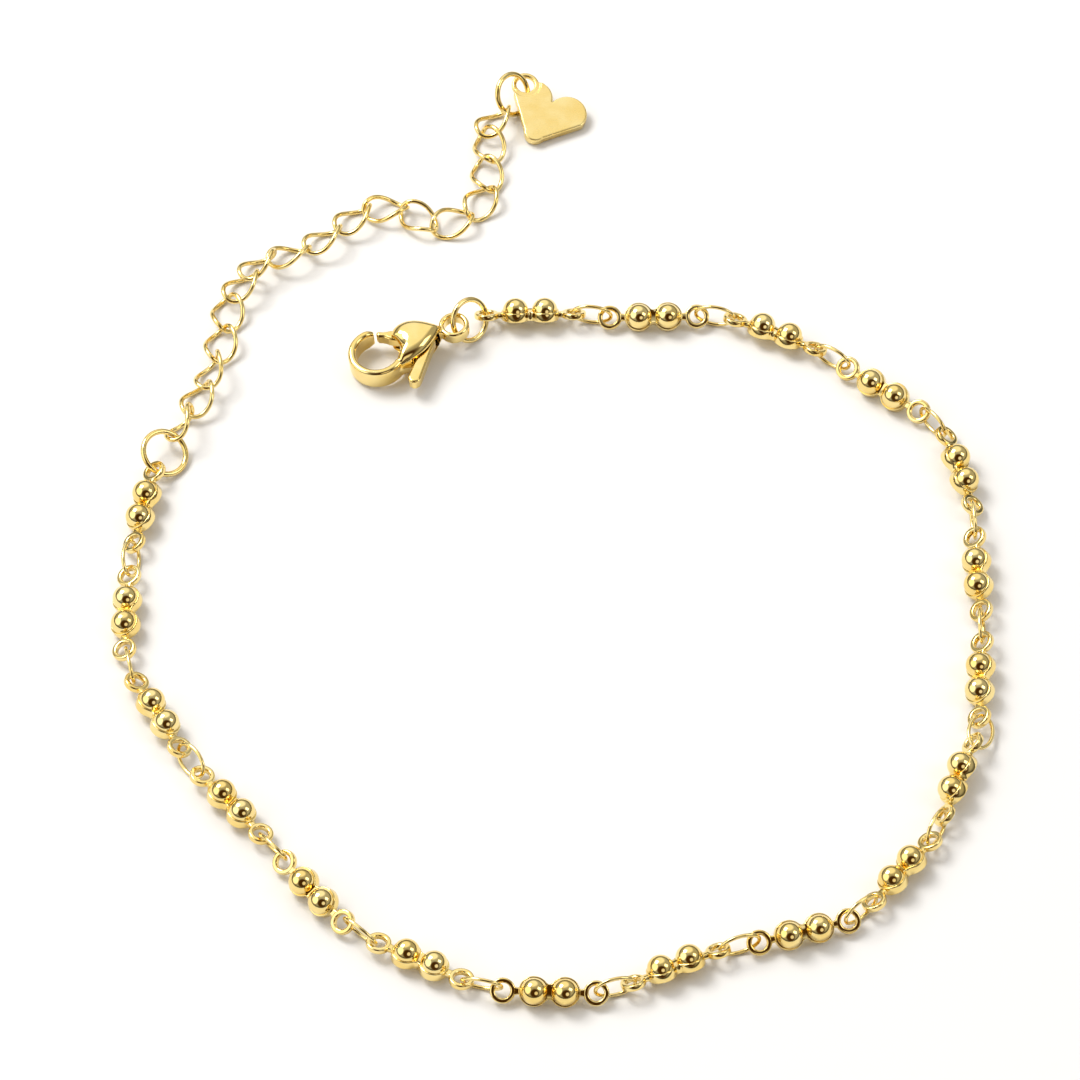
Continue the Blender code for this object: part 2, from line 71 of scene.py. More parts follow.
class Val:  # one output of a tree, so that maths on it reads as Python
    def __init__(self, tree, socket):
        self.tree = tree
        self.socket = socket

    def math(self, operation, *others, swap=False):
        values = [self, *others]
        if swap:
            values.reverse()
        node = self.tree.node("ShaderNodeMath", {"operation": operation}, dict(enumerate(values)))
        return self.tree.out(node)

    def __add__(self, other):
        return self.math("ADD", other)

    def __radd__(self, other):
        return self.math("ADD", other)

    def __sub__(self, other):
        return self.math("SUBTRACT", other)

    def __rsub__(self, other):
        return self.math("SUBTRACT", other, swap=True)

    def __mul__(self, other):
        return self.math("MULTIPLY", other)

    def __rmul__(self, other):
        return self.math("MULTIPLY", other)

    def smooth(self, low, high):  # 0 below low, 1 above high, soft between
        node = self.tree.node(
            "ShaderNodeMapRange",
            {"interpolation_type": "SMOOTHSTEP", "clamp": True},
            {"Value": self, "From Min": low, "From Max": high},
        )
        return self.tree.out(node)


class Tree:
    def __init__(self, nodeTree):
        self.nodeTree = nodeTree

    def node(self, kind, settings=None, sockets=None):
        node = self.nodeTree.nodes.new(kind)
        for key, value in (settings or {}).items():
            setattr(node, key, value)
        for key, value in (sockets or {}).items():
            self.feed(node.inputs[key], value)
        return node

    def feed(self, slot, value):
        if isinstance(value, Val):
            self.nodeTree.links.new(value.socket, slot)
        else:
            slot.default_value = value

    def out(self, node, key=0):
        return Val(self, node.outputs[key])

    def mixColor(self, factor, first, second):
        node = self.nodeTree.nodes.new("ShaderNodeMix")
        node.data_type = "RGBA"
        slots = [s for s in node.inputs if s.enabled]
        for slot, value in zip(slots, (factor, first, second)):
            self.feed(slot, value)
        return Val(self, next(s for s in node.outputs if s.enabled))


# finishes

goldLook = {
    "pale": (0.94, 0.76, 0.34, 1.0), "deep": (0.89, 0.66, 0.22, 1.0),
    "patchSize": 2.6, "hazeSize": 0.7, "scratchSize": 0.1, "scratchDepth": 0.004,  # mm
    "scratchTurn": (0.4, 0.2, 0.6), "scratchStretch": (0.12, 1.0, 1.0),
    "patchSpan": (0.3, 0.7), "hazeSpan": (0.55, 0.8), "scratchSpan": (0.62, 0.75),  # noise, none to full
    "hazeRough": 0.07, "scratchRough": 0.05, "hazeRelief": 0.25, "grainRelief": 3, "bumpStrength": 0.12,
}


def noiseOf(tree, place, size, detail, roughness=0.5):
    # noise whose patches are about this many millimetres wide
    node = tree.node("ShaderNodeTexNoise", {}, {
        "Vector": place, "Scale": 1 / (size * mm), "Detail": detail, "Roughness": roughness,
    })
    return tree.out(node, "Fac")


def goldFinish(name, roughness, deepen=0.0, grain=0.0):
    # polished plating: slow colour drift, handling haze, hairline polishing marks
    look = goldLook
    material = bpy.data.materials.new(name)
    material.use_nodes = True
    tree = Tree(material.node_tree)
    shader = material.node_tree.nodes["Principled BSDF"]
    place = tree.out(tree.node("ShaderNodeTexCoord"), "Object")
    drift = noiseOf(tree, place, look["patchSize"], 3.0)
    haze = noiseOf(tree, place, look["hazeSize"], 5.0, roughness=0.65)
    stretched = tree.out(tree.node("ShaderNodeMapping", {}, {
        "Vector": place, "Rotation": look["scratchTurn"], "Scale": look["scratchStretch"],
    }))
    hairlines = noiseOf(tree, stretched, look["scratchSize"], 2.0)
    marks = hairlines.smooth(*look["scratchSpan"])
    tone = drift.smooth(*look["patchSpan"]) * (1 - deepen) + deepen
    colour = tree.mixColor(tone, look["pale"], look["deep"])
    worn = haze.smooth(*look["hazeSpan"])
    rough = worn * look["hazeRough"] + marks * look["scratchRough"] + roughness + grain * drift
    relief = marks * -1.0 + haze * (look["hazeRelief"] + grain * look["grainRelief"])
    bump = tree.node("ShaderNodeBump", {}, {
        "Height": relief, "Strength": look["bumpStrength"], "Distance": look["scratchDepth"] * mm,
    })
    tree.feed(shader.inputs["Base Color"], colour)
    tree.feed(shader.inputs["Roughness"], rough)
    tree.feed(shader.inputs["Normal"], tree.out(bump))
    shader.inputs["Metallic"].default_value = 1.0
    return material


beadGold = goldFinish("mirrorGoldBeads", 0.07)
wireGold = goldFinish("polishedGoldWire", 0.10, deepen=0.1)
claspGold = goldFinish("tumbledGoldClasp", 0.09, deepen=0.15)
heartGold = goldFinish("satinGoldTag", 0.20, grain=0.12)
print("finishes made")


# mesh helpers, all in millimetres until a piece is finished

weldDistance = 1e-5
edgeMiddle = 0.3  # where the middle ring of a small softened edge lies
sharpAngle = 50  # degrees


def shell(rings, closed=False):
    # skin over equal rings of points; a closed one joins its last ring to its first
    mesh = bmesh.new()
    rows = [[mesh.verts.new(p) for p in ring] for ring in rings]
    count = len(rows[0])
    spans = list(zip(rows, rows[1:]))
    if closed:
        spans.append((rows[-1], rows[0]))
    for low, high in spans:
        for j in range(count):
            k = (j + 1) % count
            mesh.faces.new((low[j], low[k], high[k], high[j]))
    if not closed:
        mesh.faces.new(rows[0][::-1])
        mesh.faces.new(rows[-1])
    bmesh.ops.remove_doubles(mesh, verts=mesh.verts, dist=weldDistance)
    bmesh.ops.recalc_face_normals(mesh, faces=mesh.faces)
    return mesh


def slab(outline, low, high):
    # straight-sided piece over an outline
    return shell([[(x, y, z) for x, y in outline] for z in (low, high)])


def together(parts, name):
    # loose shells side by side in one mesh
    whole = bmesh.new()
    for part in parts:
        helper = bpy.data.meshes.new("helper")
        part.to_mesh(helper)
        whole.from_mesh(helper)
        bpy.data.meshes.remove(helper)
        part.free()
    mesh = bpy.data.meshes.new(name)
    whole.to_mesh(mesh)
    whole.free()
    return mesh


def arc(x, y, radius, start, end, count):
    angles = [math.radians(start + (end - start) * i / (count - 1)) for i in range(count)]
    return [(x + radius * math.cos(a), y + radius * math.sin(a)) for a in angles]


def circleOf(x, y, radius, sides):
    return arc(x, y, radius, 0, 360, sides + 1)[:-1]


def polar(radius, degrees):
    return (radius * math.cos(math.radians(degrees)), radius * math.sin(math.radians(degrees)))


def softEdge(edge):
    # heights and insets that soften the lower edge of a plate
    return [(0.0, edge), (edge * edgeMiddle, edge * edgeMiddle), (edge, 0.0)]


def rounded(low, high, bottom, top, radius, count=5):
    # rounded rectangle section as (across, up) points
    points = []
    points += arc(high - radius, bottom + radius, radius, -90, 0, count)
    points += arc(high - radius, top - radius, radius, 0, 90, count)
    points += arc(low + radius, top - radius, radius, 90, 180, count)
    points += arc(low + radius, bottom + radius, radius, 180, 270, count)
    return points


def turned(section, x, y, sides):
    # section turned about an upright axis
    rings = []
    for i in range(sides):
        angle = 2 * math.pi * i / sides
        rings.append([(x + r * math.cos(angle), y + r * math.sin(angle), z) for r, z in section])
    return shell(rings, closed=True)


def throughPoints(points, steps):
    # smooth closed line through given corner points
    count = len(points)
    line = []
    for i in range(count):
        a, b, c, d = (Vector(points[(i + k) % count]) for k in (-1, 0, 1, 2))
        for s in range(steps):
            t = s / steps
            line.append(0.5 * (
                2 * b + (c - a) * t + (2 * a - 5 * b + 4 * c - d) * t ** 2 + (3 * b - a - 3 * c + d) * t ** 3
            ))
    return [(p.x, p.y) for p in line]


def evaluated(obj, name):
    # plain mesh of an object with its modifiers; the object then goes away
    view = bpy.context.evaluated_depsgraph_get()
    mesh = bpy.data.meshes.new_from_object(obj.evaluated_get(view))
    mesh.name = name
    bpy.data.objects.remove(obj, do_unlink=True)
    return mesh


def helperObject(name, mesh):
    obj = bpy.data.objects.new(name, mesh)
    bpy.context.scene.collection.objects.link(obj)
    return obj


def cutAndFuse(name, base, cutters, shells, voxel, passes):
    # cuts, then melts overlapping shells into one skin with soft inside corners
    body = helperObject(name + "Body", base)
    helpers = []
    for cutter in cutters:
        helpers.append(helperObject(name + "Cutter", cutter))
        boolean = body.modifiers.new("cut", "BOOLEAN")
        boolean.operation = "DIFFERENCE"
        boolean.solver = "EXACT"
        boolean.object = helpers[-1]
    cut = evaluated(body, name + "Cut")
    for helper in helpers:
        bpy.data.objects.remove(helper, do_unlink=True)
    whole = bmesh.new()
    whole.from_mesh(cut)
    for part in shells:
        whole.from_mesh(part)
    mesh = bpy.data.meshes.new(name)
    whole.to_mesh(mesh)
    whole.free()
    obj = helperObject(name + "Fused", mesh)
    remesh = obj.modifiers.new("skin", "REMESH")
    remesh.mode = "VOXEL"
    remesh.voxel_size = voxel
    smooth = obj.modifiers.new("polish", "SMOOTH")
    smooth.factor = 0.5
    smooth.iterations = passes
    return evaluated(obj, name)


def finishPiece(name, mesh, material, body, replaced):
    # millimetres to metres, then onto its body in place of the plain solids
    mesh.transform(Matrix.Scale(mm, 4))
    mesh.name = name
    mesh.materials.clear()
    mesh.materials.append(material)
    mesh.shade_smooth()
    mesh.set_sharp_from_angle(angle=math.radians(sharpAngle))
    piece = helperObject(name, mesh)
    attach(piece, body)
    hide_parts(*replaced)
    print(name, sum(len(p.vertices) - 2 for p in mesh.polygons), "triangles")


# where the plain solids stand

sameWay = 0.97  # cosine above which two faces count as one flat side


def solidFrame(obj):
    # middle, main directions (longest first), largest flat side and points of a node, in millimetres
    points = np.array([v.co[:] for v in obj.data.vertices]) / mm
    obj.data.calc_loop_triangles()
    corners = points[np.array([t.vertices[:] for t in obj.data.loop_triangles])]
    normals = np.cross(corners[:, 1] - corners[:, 0], corners[:, 2] - corners[:, 0]) / 2
    areas = np.linalg.norm(normals, axis=1)
    centre = (corners.mean(1) * areas[:, None]).sum(0) / areas.sum()
    local = corners - centre
    total = local.sum(1)
    spread = np.einsum("t,tki,tkj->ij", areas, local, local) + np.einsum("t,ti,tj->ij", areas, total, total)
    directions = np.linalg.eigh(spread)[1].T[::-1]
    directed = normals / np.maximum(areas, 1e-12)[:, None]
    flats = {}
    for way, area in zip(map(tuple, np.round(directed, 1)), areas):
        flats[way] = flats.get(way, 0.0) + area
    flattest = np.array(max(flats, key=flats.get))
    alike = directed @ flattest > sameWay * np.linalg.norm(flattest)
    flat = (directed[alike] * areas[alike][:, None]).sum(0)
    flat /= np.linalg.norm(flat)
    return Vector(centre), [Vector(d) for d in directions], Vector(flat), points


def axesMatrix(centre, along, up):
    along = along.normalized()
    up = (up - along * up.dot(along)).normalized()
    return Matrix.Translation(centre) @ Matrix((along, up.cross(along), up)).transposed().to_4x4()


def linkPlace(obj):
    # a two-bead link lies on its flat back
    centre, directions, back, points = solidFrame(obj)
    depth = max((points @ np.array(back)).tolist())
    centre = centre + back * (depth - centre.dot(back))
    return axesMatrix(centre, directions[0], -back)


def ringPlace(obj):
    centre, directions, _, _ = solidFrame(obj)
    return axesMatrix(centre, directions[0], directions[2])


def turnOf(heading, tilt, axis):
    # turned on the floor by a heading, after a tilt about an axis
    return Matrix.Rotation(math.radians(heading), 4, "Z") @ Matrix.Rotation(math.radians(tilt), 4, axis)


# geometry node trees

def pointCloud(name, places):
    # one point for each place, carrying its turn
    mesh = bpy.data.meshes.new(name)
    mesh.from_pydata([m.translation[:] for m in places], [], [])
    turn = mesh.attributes.new("turn", "FLOAT_VECTOR", "POINT")
    for row, matrix in zip(turn.data, places):
        row.vector = matrix.to_euler()[:]
    return helperObject(name, mesh)


def treeWith(name, sockets):
    tree = bpy.data.node_groups.new(name, "GeometryNodeTree")
    tree.interface.new_socket("Geometry", in_out="INPUT", socket_type="NodeSocketGeometry")
    for label, kind, value in sockets:
        socket = tree.interface.new_socket(label, in_out="INPUT", socket_type=kind)
        if value is not None:
            socket.default_value = value
    tree.interface.new_socket("Geometry", in_out="OUTPUT", socket_type="NodeSocketGeometry")
    return Tree(tree)


def instancesOnPlaces(tree, given, single):
    # puts a copy of a shape on each point, turned as the point says, then makes it real
    turn = tree.node("GeometryNodeInputNamedAttribute", {"data_type": "FLOAT_VECTOR"}, {"Name": "turn"})
    spread = tree.node("GeometryNodeInstanceOnPoints", {}, {
        "Points": tree.out(given, "Geometry"), "Instance": single, "Rotation": tree.out(turn, "Attribute"),
    })
    real = tree.node("GeometryNodeRealizeInstances", {}, {"Geometry": tree.out(spread)})
    finished = tree.node("GeometryNodeSetMaterial", {}, {
        "Geometry": tree.out(real), "Material": tree.out(given, "Finish"),
    })
    end = tree.nodeTree.nodes.new("NodeGroupOutput")
    tree.feed(end.inputs[0], tree.out(finished))


def wireLinkTree():
    # oval wire links, their two ends turned apart by Twist
    tree = treeWith("wireLinks", (
        ("Length", "NodeSocketFloat", 4.0), ("Width", "NodeSocketFloat", 3.0),
        ("Wire", "NodeSocketFloat", 0.4), ("Twist", "NodeSocketFloat", 0.0),
        ("Steps", "NodeSocketInt", 64), ("Sides", "NodeSocketInt", 14),
        ("Finish", "NodeSocketMaterial", None),
    ))
    given = tree.nodeTree.nodes.new("NodeGroupInput")
    length, width, wire, twist = (tree.out(given, label) for label in ("Length", "Width", "Wire", "Twist"))
    circle = tree.node("GeometryNodeCurvePrimitiveCircle", {"mode": "RADIUS"}, {
        "Resolution": tree.out(given, "Steps"), "Radius": 1.0,
    })
    position = tree.out(tree.node("GeometryNodeInputPosition"))
    parts = tree.node("ShaderNodeSeparateXYZ", {}, {0: position})
    cosine, sine = tree.out(parts, "X"), tree.out(parts, "Y")
    turn = cosine * twist * -1.0
    side = sine * (width - wire) * 0.5
    moved = tree.out(tree.node("ShaderNodeCombineXYZ", {}, {
        "X": cosine * (length - wire) * 0.5,
        "Y": side * turn.math("COSINE"),
        "Z": side * turn.math("SINE"),
    }))
    oval = tree.node("GeometryNodeSetPosition", {}, {"Geometry": tree.out(circle), "Position": moved})
    section = tree.node("GeometryNodeCurvePrimitiveCircle", {"mode": "RADIUS"}, {
        "Resolution": tree.out(given, "Sides"), "Radius": wire * 0.5,
    })
    tube = tree.node("GeometryNodeCurveToMesh", {}, {
        "Curve": tree.out(oval), "Profile Curve": tree.out(section),
    })
    instancesOnPlaces(tree, given, tree.out(tube))
    return tree.nodeTree


def solidLinkTree():
    # copies of one modelled link
    tree = treeWith("solidLinks", (
        ("Link", "NodeSocketObject", None), ("Finish", "NodeSocketMaterial", None),
    ))
    given = tree.nodeTree.nodes.new("NodeGroupInput")
    single = tree.node("GeometryNodeObjectInfo", {"transform_space": "ORIGINAL"}, {
        "Object": tree.out(given, "Link"),
    })
    instancesOnPlaces(tree, given, tree.out(single, "Geometry"))
    return tree.nodeTree


def grown(name, places, tree, values):
    cloud = pointCloud(name + "Places", places)
    modifier = cloud.modifiers.new("links", "NODES")
    modifier.node_group = tree
    for item in tree.interface.items_tree:
        if item.in_out == "INPUT" and item.name in values:
            modifier[item.identifier] = values[item.name]
    return evaluated(cloud, name)


wireLinks = wireLinkTree()
solidLinks = solidLinkTree()


# two-bead links

beadLink = {
    "beadRadius": 1.32, "beadOffset": 1.34, "domeRadius": 1.19, "domeLow": 0.80, "domeTop": 1.99,
    "domeRoot": 0.4, "domePole": 1e-4, "domeSides": 40, "domeSteps": 12,
    "baseHeight": 0.86, "waistHalf": 0.66, "edge": 0.07, "discSteps": 31, "waistSteps": 9,
    "eyeletOffset": 4.02, "eyeletRadius": 1.12, "eyeletHole": 0.66, "eyeletLow": 0.12, "eyeletHigh": 0.70,
    "eyeletEdge": 0.15, "eyeletSides": 36,
    "neckStart": 2.2, "neckEnd": 3.2, "neckHalf": 0.32, "neckFlare": 0.16, "neckLow": 0.14, "neckHigh": 0.68,
    "neckEdge": 0.14, "neckSteps": 8,
    # rise above the base's top, and inset, of the rings that roll its rim over
    "rim": ((-0.11, 0.0), (-0.04, 0.02), (-0.01, 0.05), (0.0, 0.09), (-0.02, 0.13), (-0.06, 0.3)),
}


def peanut(inset):
    # two discs with a soft waist between, drawn in by an inset
    v = beadLink
    radius, offset, waist = v["beadRadius"], v["beadOffset"], v["waistHalf"]
    discSteps, waistSteps = v["discSteps"], v["waistSteps"]
    fillet = (offset ** 2 + waist ** 2 - radius ** 2) / (2 * (radius - waist))
    rise = waist + fillet
    tangent = math.degrees(math.atan2(rise, -offset))
    points = []
    points += arc(offset, 0, radius - inset, -tangent, tangent, discSteps)
    points += arc(0, rise, fillet + inset, tangent - 180, -tangent, waistSteps)[1:-1]
    points += arc(-offset, 0, radius - inset, 180 - tangent, 180 + tangent, discSteps)
    points += arc(0, -rise, fillet + inset, tangent, 180 - tangent, waistSteps)[1:-1]
    return points


def beadBase():
    v = beadLink
    levels = softEdge(v["edge"]) + [(v["baseHeight"] + rise, inset) for rise, inset in v["rim"]]
    return shell([[(x, y, z) for x, y in peanut(inset)] for z, inset in levels])


def beadDome(side):
    v = beadLink
    rings = []
    for i in range(v["domeSteps"] + 1):
        angle = math.pi / 2 * i / v["domeSteps"]
        radius = max(v["domeRadius"] * math.cos(angle), v["domePole"])
        z = v["domeLow"] + (v["domeTop"] - v["domeLow"]) * math.sin(angle)
        rings.append([(x, y, z) for x, y in circleOf(side * v["beadOffset"], 0, radius, v["domeSides"])])
    rings.insert(0, [(x, y, v["domeLow"] - v["domeRoot"]) for x, y, _ in rings[0]])
    return shell(rings)


def beadEyelet(side):
    v = beadLink
    section = rounded(v["eyeletHole"], v["eyeletRadius"], v["eyeletLow"], v["eyeletHigh"], v["eyeletEdge"])
    return turned(section, side * v["eyeletOffset"], 0, v["eyeletSides"])


def beadNeck(side):
    # bar from the base to an eyelet, a little wider at both ends
    v = beadLink
    rings = []
    for i in range(v["neckSteps"] + 1):
        t = i / v["neckSteps"]
        half = v["neckHalf"] + v["neckFlare"] * (2 * t - 1) ** 2
        x = side * (v["neckStart"] + (v["neckEnd"] - v["neckStart"]) * t)
        section = rounded(-half, half, v["neckLow"], v["neckHigh"], v["neckEdge"])
        rings.append([(x, y, z) for y, z in section])
    return shell(rings)


def beadLinkMesh():
    parts = [beadBase()]
    for side in (-1, 1):
        parts += [beadDome(side), beadEyelet(side), beadNeck(side)]
    return together(parts, "oneLink")


linkNodes = sorted(n for n in nodes if n.startswith("bead_link"))
oneLink = helperObject("oneLink", beadLinkMesh())
linkPlaces = [linkPlace(nodes[n]) for n in linkNodes]
linkMesh = grown("beadLinks", linkPlaces, solidLinks, {"Link": oneLink, "Finish": beadGold})
bpy.data.objects.remove(oneLink, do_unlink=True)
finishPiece("beadLinks", linkMesh, beadGold, "anklet", linkNodes)


# oval connectors and round jump rings

connector = {"Length": 3.90, "Width": 2.62, "Wire": 0.35, "Steps": 40, "Sides": 12}
jumpRings = {
    "clasp_jump_ring": {"Length": 4.3, "Width": 4.3, "Wire": 0.50, "Steps": 72, "Sides": 18},
    "extender_jump_ring": {"Length": 4.6, "Width": 4.6, "Wire": 0.52, "Steps": 72, "Sides": 18},
    "tag_jump_ring": {"Length": 4.3, "Width": 4.3, "Wire": 0.50, "Steps": 72, "Sides": 18},
}

connectorNodes = sorted(n for n in nodes if n.startswith("connector"))
connectorPlaces = [ringPlace(nodes[n]) for n in connectorNodes]
connectorMesh = grown("connectors", connectorPlaces, wireLinks, {**connector, "Finish": wireGold})
finishPiece("connectors", connectorMesh, wireGold, "anklet", connectorNodes)
for node, sizes in jumpRings.items():
    words = node.split("_")
    name = words[0] + "".join(w.capitalize() for w in words[1:])
    ringMesh = grown(name, [ringPlace(nodes[node])], wireLinks, {**sizes, "Finish": wireGold})
    finishPiece(name, ringMesh, wireGold, "anklet", [node])


# extender chain

extender = {
    "link": {
        "Length": 4.55, "Width": 3.25, "Wire": 0.43, "Twist": math.radians(45), "Steps": 48, "Sides": 12,
    },
    "solder": 0.10, "start": (-32.65, 12.0), "floorGap": 0.02,
    "pathPoints": 12, "pathSteps": 6, "nearest": 0.7, "nudge": 0.01,
}
# heading on the floor, lean of the flat side, and how far a link lies back from taut
extenderLinks = (
    (66, 62, 0), (66, 18, 0), (74, 44, 0), (80, 8, 0), (84, 4, 0), (50, 26, 0), (44, 38, 0.9),
    (22, 26, -0.5), (40, 28, 0), (44, 22, 0), (4, 8, 0), (-44, -4, 0), (26, -10, 0), (60, -4, 0),
    (100, 4, 0), (100, 12, -0.3), (50, 26, 0.6),
)


def extenderPath():
    # middle line of one twisted link's wire
    link = extender["link"]
    halfLength = (link["Length"] - link["Wire"]) / 2
    halfWidth = (link["Width"] - link["Wire"]) / 2
    points = []
    for i in range(extender["pathPoints"]):
        angle = 2 * math.pi * i / extender["pathPoints"]
        turn = -link["Twist"] * math.cos(angle)
        side = halfWidth * math.sin(angle)
        points.append(Vector((halfLength * math.cos(angle), side * math.cos(turn), side * math.sin(turn))))
    return points


def denseLine(path, matrix):
    steps = extender["pathSteps"]
    line = []
    for index, point in enumerate(path):
        following = path[(index + 1) % len(path)]
        line += [matrix @ point.lerp(following, step / steps) for step in range(steps)]
    return line


def lineGap(first, second):
    return np.linalg.norm(np.array(first)[:, None] - np.array(second)[None], axis=2).min()


def extenderPlaces():
    # each link is drawn along its heading until its wire meets the one before, as in the solid
    v = extender
    length, wire = v["link"]["Length"], v["link"]["Wire"]
    path = extenderPath()
    touching = wire - v["solder"]
    places = []
    before = None
    for heading, lean, slack in extenderLinks:
        turn = turnOf(heading, -lean, "X")
        way = turn.col[0].to_3d()
        line = denseLine(path, turn)
        height = v["floorGap"] + wire / 2 - min(p.z for p in line)
        if before is None:
            centre = Vector((*v["start"], height))
        else:
            start = Vector((centre.x, centre.y, height))
            mean = (way + before[0]).normalized()
            step = v["nearest"] * length
            while lineGap(before[1], [p + start + mean * step for p in line]) > touching:
                step += v["nudge"]
            centre = start + mean * (step - abs(slack))
            side = Vector((0, 0, 1)).cross(mean) * math.copysign(v["nudge"], slack)
            while lineGap(before[1], [p + centre for p in line]) > touching:
                centre = centre + side
        before = (way, [p + centre for p in line])
        places.append(Matrix.Translation(centre) @ turn)
    return places


def extenderMesh():
    # the chain, set about the middle of the plain solid's box
    mesh = grown("extenderChain", extenderPlaces(), wireLinks, {**extender["link"], "Finish": wireGold})
    points = np.array([v.co[:] for v in mesh.vertices])
    low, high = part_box("extender_chain")
    middle = (Vector(low) + Vector(high)) / 2 / mm
    settle = middle - Vector((points.min(0) + points.max(0)) / 2)
    mesh.transform(Matrix.Translation(settle))
    print("extender moved by", [round(c, 3) for c in settle])
    return mesh


finishPiece("extenderChain", extenderMesh(), wireGold, "anklet", ["extender_chain"])


# lobster clasp

clasp = {
    "heading": 22.9, "tilt": 5.0, "pivot": (4.80, -0.20, 1.60), "thickness": 3.20,
    "middle": (3.85, 0.05), "outlineSteps": 6, "domeSteps": 24, "domeFullness": 0.50, "domePole": 0.02,
    "clawInner": 1.95, "clawOuter": 2.68, "clawLow": 0.50, "clawHigh": 2.70, "clawEdge": 0.33,
    "clawStart": -50, "clawSweep": 234, "clawSteps": 64, "tipSteps": 6, "tipSlim": 0.35,
    "slotLow": 0.78, "slotHigh": 2.42, "pinRadius": 0.36, "pinSides": 24, "pinReach": 0.3,
    "eyeCentre": 7.62, "eyeRadius": 1.40, "eyeHole": 0.92, "eyeLow": 0.95, "eyeHigh": 2.25, "eyeEdge": 0.22,
    "eyeSides": 48, "edgeSteps": 6, "voxel": 0.07, "passes": 7,
    "leverLow": 0.98, "leverHigh": 2.22, "leverEdge": 0.13, "leverHole": 0.62, "leverHoleSides": 32,
    "leverVoxel": 0.05, "leverPasses": 4, "tailMiddle": (2.06, -3.91), "tailRadius": 0.60,
}
# corner points (along, across) of the body from above, from its throat round its back
claspOutline = (
    polar(2.64, -63), polar(2.02, -52), polar(2.00, -32), polar(2.00, -10), polar(2.00, 14), polar(2.02, 34),
    (2.02, 1.72), (2.70, 2.12), (3.60, 2.20), (4.50, 1.92), (5.35, 1.35), (6.05, 0.72), (6.50, 0.12),
    (6.20, -0.40), (5.25, -1.22), (4.15, -1.90), (3.05, -2.25), (2.05, -2.40),
)
# room that is cut out of the body for the lever, from above
claspSlot = (
    (5.72, 0.62), (4.90, 1.08), (3.70, 1.42), (2.35, 2.40), (0.60, 2.90), (1.00, -0.62), (1.50, -0.78),
    (2.95, -0.95), (2.25, -3.20), (6.60, -2.20), (5.95, -0.35),
)
# lever from above: inner side of its nose, round end of its tail, back over the pin to the nose
leverOutline = (
    polar(1.98, 70), polar(1.98, 50), polar(1.98, 31), (2.30, 0.62), (3.80, -0.30), (3.92, -1.05),
    *arc(*clasp["tailMiddle"], clasp["tailRadius"], 142, 316, 6), (4.95, -1.42), (5.45, -0.85), (5.55, -0.15),
    (5.30, 0.40), (4.75, 0.72), (3.60, 1.02), (2.26, 1.95), polar(2.62, 52), polar(2.62, 70),
)


def claspPlace():
    v = clasp
    turn = turnOf(v["heading"], -v["tilt"], "Y")
    joint = Vector(frame["joints"][0]["pos_m"]) / mm
    return Matrix.Translation(joint - turn @ Vector(v["pivot"])) @ turn


def claspDome():
    # pillow over the outline, full in the middle and drawn in above and below
    v = clasp
    outline = throughPoints(claspOutline, v["outlineSteps"])
    x0, y0 = v["middle"]
    rings = []
    for i in range(v["domeSteps"] + 1):
        angle = math.pi * i / v["domeSteps"]
        scale = max(max(math.sin(angle), 0.0) ** v["domeFullness"], v["domePole"])
        z = v["thickness"] / 2 * (1 - math.cos(angle))
        rings.append([(x0 + (x - x0) * scale, y0 + (y - y0) * scale, z) for x, y in outline])
    return shell(rings)


def claspClaw():
    v = clasp
    inner, outer, low, high = v["clawInner"], v["clawOuter"], v["clawLow"], v["clawHigh"]
    section = rounded(inner, outer, low, high, v["clawEdge"], v["edgeSteps"])
    midR = (inner + outer) / 2
    midZ = (low + high) / 2
    steps, tip = v["clawSteps"], v["tipSteps"]
    rings = []
    for i in range(steps + 1):
        angle = v["clawStart"] - v["clawSweep"] * i / steps
        slim = 1 - v["tipSlim"] * max(0, (i - steps + tip) / tip) ** 2
        rings.append([
            (*polar(midR + (r - midR) * slim, angle), midZ + (z - midZ) * slim) for r, z in section
        ])
    return shell(rings)


def claspBody():
    v = clasp
    slot = slab(claspSlot, v["slotLow"], v["slotHigh"])
    section = rounded(v["eyeHole"], v["eyeRadius"], v["eyeLow"], v["eyeHigh"], v["eyeEdge"], v["edgeSteps"])
    eye = turned(section, v["eyeCentre"], 0, v["eyeSides"])
    pinCircle = circleOf(*v["pivot"][:2], v["pinRadius"], v["pinSides"])
    pin = slab(pinCircle, v["slotLow"] - v["pinReach"], v["slotHigh"] + v["pinReach"])
    return cutAndFuse(
        "claspBody", together([claspDome()], "dome"), [together([slot], "slot")],
        [together([claspClaw()], "claw"), together([eye], "eye"), together([pin], "pin")],
        v["voxel"], v["passes"],
    )


def claspLever():
    v = clasp
    lever = slab(leverOutline, v["leverLow"], v["leverHigh"])
    bmesh.ops.bevel(
        lever, geom=list(lever.edges), offset=v["leverEdge"], segments=3, affect="EDGES", clamp_overlap=True
    )
    hole = slab(circleOf(*v["pivot"][:2], v["leverHole"], v["leverHoleSides"]), 0.0, v["thickness"])
    return cutAndFuse(
        "claspLever", together([lever], "lever"), [together([hole], "leverHole")], [],
        v["leverVoxel"], v["leverPasses"],
    )


bodyMesh = claspBody()
bodyMesh.transform(claspPlace())
finishPiece("claspBody", bodyMesh, claspGold, "anklet", ["clasp_body"])
leverMesh = claspLever()
leverMesh.transform(claspPlace())
finishPiece("claspLever", leverMesh, claspGold, "lever", ["clasp_lever"])


# heart tag, its face left plain

